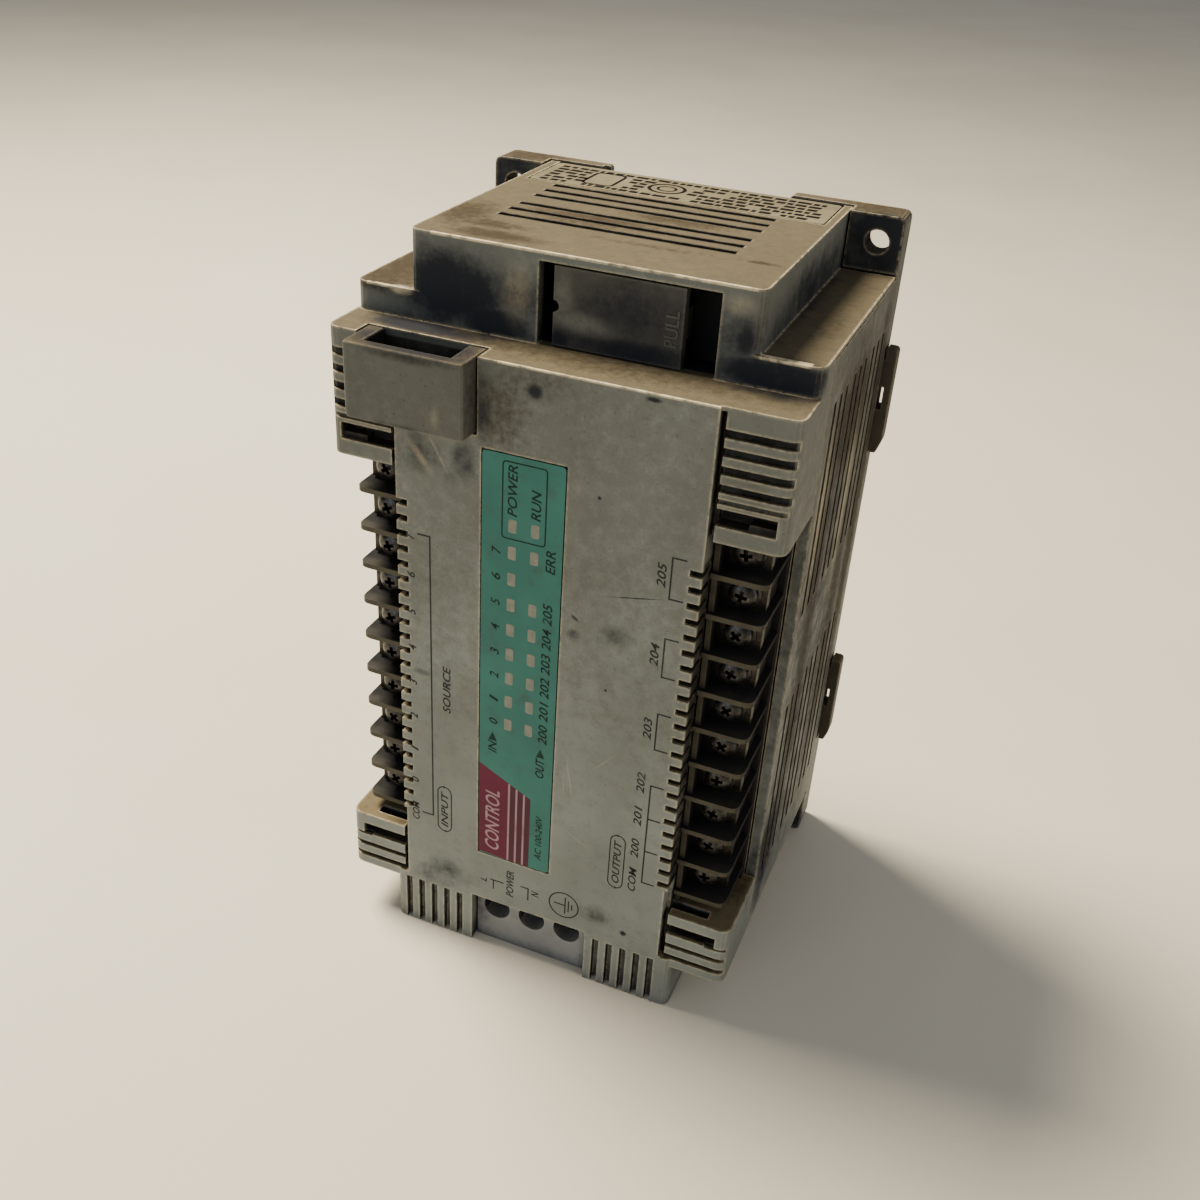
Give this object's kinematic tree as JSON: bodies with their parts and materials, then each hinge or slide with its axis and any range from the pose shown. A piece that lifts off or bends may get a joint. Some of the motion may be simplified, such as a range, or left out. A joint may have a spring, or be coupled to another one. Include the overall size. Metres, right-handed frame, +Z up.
{
  "type": "programmable controller module",
  "caption": "Compact controller module for DIN rail or panel, with stepped ends, finned screw terminals on the sides, a pull-off port cover, side vents, mounting ears and rail latches.",
  "frame": {"origin": "middle of the bounding box's bottom face, on the surface that the module stands on", "axes": "+Z up along the long axis, away from the power-terminal end; -Y out of the front panel; +X towards the output terminals and the latches"},
  "size_m": [0.0822, 0.0738, 0.1406],
  "materials": {
    "case_plastic": "fine-textured beige-grey moulded plastic, aged, sooted and dusty",
    "cover_plastic": "fine-textured grey moulded plastic, sooted",
    "terminal_plastic": "moulded plastic, dirty and darker than the case",
    "latch_plastic": "brown-grey moulded plastic",
    "label_film": "satin printed polyester film in teal and crimson",
    "rating_film": "satin pale printed film, worn",
    "circuit_board": "green solder-masked glass-fibre board",
    "relay_plastic": "black moulded housing",
    "dark_plastic": "black moulded plastic",
    "transformer_iron": "varnished laminated iron and bobbin",
    "capacitor_can": "sleeved aluminium can",
    "light_guide_plastic": "clear pinkish light guide",
    "screw_steel": "zinc-plated steel, tarnished"
  },
  "bodies": {
    "case": {"front_case": "case_plastic", "rear_base": "case_plastic", "indicator_label": "label_film", "rating_label": "rating_film", "input_terminal_block": "terminal_plastic", "output_terminal_block": "terminal_plastic", "power_terminal_block": "terminal_plastic", "main_board": "circuit_board", "power_board": "circuit_board", "board_header": "dark_plastic", "output_relay_1": "relay_plastic", "output_relay_2": "relay_plastic", "output_relay_3": "relay_plastic", "output_relay_4": "relay_plastic", "output_relay_5": "relay_plastic", "output_relay_6": "relay_plastic", "transformer": "transformer_iron", "filter_capacitor_1": "capacitor_can", "filter_capacitor_2": "capacitor_can", "microcontroller": "dark_plastic", "led_board": "circuit_board", "light_guide": "light_guide_plastic", "expansion_connector": "dark_plastic", "loader_connector": "dark_plastic"},
    "expansion_cover": {"expansion_cover": "cover_plastic"},
    "port_hood": {"port_hood": "case_plastic"},
    "din_latch_upper": {"din_latch_upper": "latch_plastic"},
    "din_latch_lower": {"din_latch_lower": "latch_plastic"},
    "input_screw_01": {"input_screw_01": "screw_steel"},
    "input_screw_02": {"input_screw_02": "screw_steel"},
    "input_screw_03": {"input_screw_03": "screw_steel"},
    "input_screw_04": {"input_screw_04": "screw_steel"},
    "input_screw_05": {"input_screw_05": "screw_steel"},
    "input_screw_06": {"input_screw_06": "screw_steel"},
    "input_screw_07": {"input_screw_07": "screw_steel"},
    "input_screw_08": {"input_screw_08": "screw_steel"},
    "input_screw_09": {"input_screw_09": "screw_steel"},
    "input_screw_10": {"input_screw_10": "screw_steel"},
    "output_screw_01": {"output_screw_01": "screw_steel"},
    "output_screw_02": {"output_screw_02": "screw_steel"},
    "output_screw_03": {"output_screw_03": "screw_steel"},
    "output_screw_04": {"output_screw_04": "screw_steel"},
    "output_screw_05": {"output_screw_05": "screw_steel"},
    "output_screw_06": {"output_screw_06": "screw_steel"},
    "output_screw_07": {"output_screw_07": "screw_steel"},
    "output_screw_08": {"output_screw_08": "screw_steel"},
    "output_screw_09": {"output_screw_09": "screw_steel"},
    "output_screw_10": {"output_screw_10": "screw_steel"},
    "power_screw_1": {"power_screw_1": "screw_steel"},
    "power_screw_2": {"power_screw_2": "screw_steel"},
    "power_screw_3": {"power_screw_3": "screw_steel"}
  },
  "joints": [
    {"name": "cover_pull", "type": "slide", "parent": "case", "child": "expansion_cover", "axis": [0, -1, 0], "range_m": [0, 0.01]},
    {"name": "din_latch_lower_slide", "type": "slide", "parent": "case", "child": "din_latch_lower", "axis": [1, 0, 0], "range_m": [0, 0.003], "stiffness_N_per_m": 1200, "springref_m": -0.001},
    {"name": "din_latch_upper_slide", "type": "slide", "parent": "case", "child": "din_latch_upper", "axis": [1, 0, 0], "range_m": [0, 0.003], "stiffness_N_per_m": 1200, "springref_m": -0.001},
    {"name": "hood_pull", "type": "slide", "parent": "case", "child": "port_hood", "axis": [0, -1, 0], "range_m": [0, 0.012]},
    {"name": "input_screw_01_turn", "type": "hinge", "parent": "case", "child": "input_screw_01", "pos_m": [-0.03385, -0.02685, 0.09891], "axis": [0, -1, 0], "continuous": true},
    {"name": "output_screw_01_turn", "type": "hinge", "parent": "case", "child": "output_screw_01", "pos_m": [0.03155, -0.02685, 0.09891], "axis": [0, -1, 0], "continuous": true},
    {"name": "input_screw_02_turn", "type": "hinge", "parent": "case", "child": "input_screw_02", "pos_m": [-0.03385, -0.02685, 0.09129], "axis": [0, -1, 0], "continuous": true},
    {"name": "output_screw_02_turn", "type": "hinge", "parent": "case", "child": "output_screw_02", "pos_m": [0.03155, -0.02685, 0.09129], "axis": [0, -1, 0], "continuous": true},
    {"name": "input_screw_03_turn", "type": "hinge", "parent": "case", "child": "input_screw_03", "pos_m": [-0.03385, -0.02685, 0.08367], "axis": [0, -1, 0], "continuous": true},
    {"name": "output_screw_03_turn", "type": "hinge", "parent": "case", "child": "output_screw_03", "pos_m": [0.03155, -0.02685, 0.08367], "axis": [0, -1, 0], "continuous": true},
    {"name": "input_screw_04_turn", "type": "hinge", "parent": "case", "child": "input_screw_04", "pos_m": [-0.03385, -0.02685, 0.07605], "axis": [0, -1, 0], "continuous": true},
    {"name": "output_screw_04_turn", "type": "hinge", "parent": "case", "child": "output_screw_04", "pos_m": [0.03155, -0.02685, 0.07605], "axis": [0, -1, 0], "continuous": true},
    {"name": "input_screw_05_turn", "type": "hinge", "parent": "case", "child": "input_screw_05", "pos_m": [-0.03385, -0.02685, 0.06843], "axis": [0, -1, 0], "continuous": true},
    {"name": "output_screw_05_turn", "type": "hinge", "parent": "case", "child": "output_screw_05", "pos_m": [0.03155, -0.02685, 0.06843], "axis": [0, -1, 0], "continuous": true},
    {"name": "input_screw_06_turn", "type": "hinge", "parent": "case", "child": "input_screw_06", "pos_m": [-0.03385, -0.02685, 0.06081], "axis": [0, -1, 0], "continuous": true},
    {"name": "output_screw_06_turn", "type": "hinge", "parent": "case", "child": "output_screw_06", "pos_m": [0.03155, -0.02685, 0.06081], "axis": [0, -1, 0], "continuous": true},
    {"name": "input_screw_07_turn", "type": "hinge", "parent": "case", "child": "input_screw_07", "pos_m": [-0.03385, -0.02685, 0.05319], "axis": [0, -1, 0], "continuous": true},
    {"name": "output_screw_07_turn", "type": "hinge", "parent": "case", "child": "output_screw_07", "pos_m": [0.03155, -0.02685, 0.05319], "axis": [0, -1, 0], "continuous": true},
    {"name": "input_screw_08_turn", "type": "hinge", "parent": "case", "child": "input_screw_08", "pos_m": [-0.03385, -0.02685, 0.04557], "axis": [0, -1, 0], "continuous": true},
    {"name": "output_screw_08_turn", "type": "hinge", "parent": "case", "child": "output_screw_08", "pos_m": [0.03155, -0.02685, 0.04557], "axis": [0, -1, 0], "continuous": true},
    {"name": "input_screw_09_turn", "type": "hinge", "parent": "case", "child": "input_screw_09", "pos_m": [-0.03385, -0.02685, 0.03795], "axis": [0, -1, 0], "continuous": true},
    {"name": "output_screw_09_turn", "type": "hinge", "parent": "case", "child": "output_screw_09", "pos_m": [0.03155, -0.02685, 0.03795], "axis": [0, -1, 0], "continuous": true},
    {"name": "input_screw_10_turn", "type": "hinge", "parent": "case", "child": "input_screw_10", "pos_m": [-0.03385, -0.02685, 0.03033], "axis": [0, -1, 0], "continuous": true},
    {"name": "output_screw_10_turn", "type": "hinge", "parent": "case", "child": "output_screw_10", "pos_m": [0.03155, -0.02685, 0.03033], "axis": [0, -1, 0], "continuous": true},
    {"name": "power_screw_1_turn", "type": "hinge", "parent": "case", "child": "power_screw_1", "pos_m": [-0.00912, -0.02845, 0.0088], "axis": [0, -1, 0], "continuous": true},
    {"name": "power_screw_2_turn", "type": "hinge", "parent": "case", "child": "power_screw_2", "pos_m": [-0.0015, -0.02845, 0.0088], "axis": [0, -1, 0], "continuous": true},
    {"name": "power_screw_3_turn", "type": "hinge", "parent": "case", "child": "power_screw_3", "pos_m": [0.00612, -0.02845, 0.0088], "axis": [0, -1, 0], "continuous": true}
  ]
}
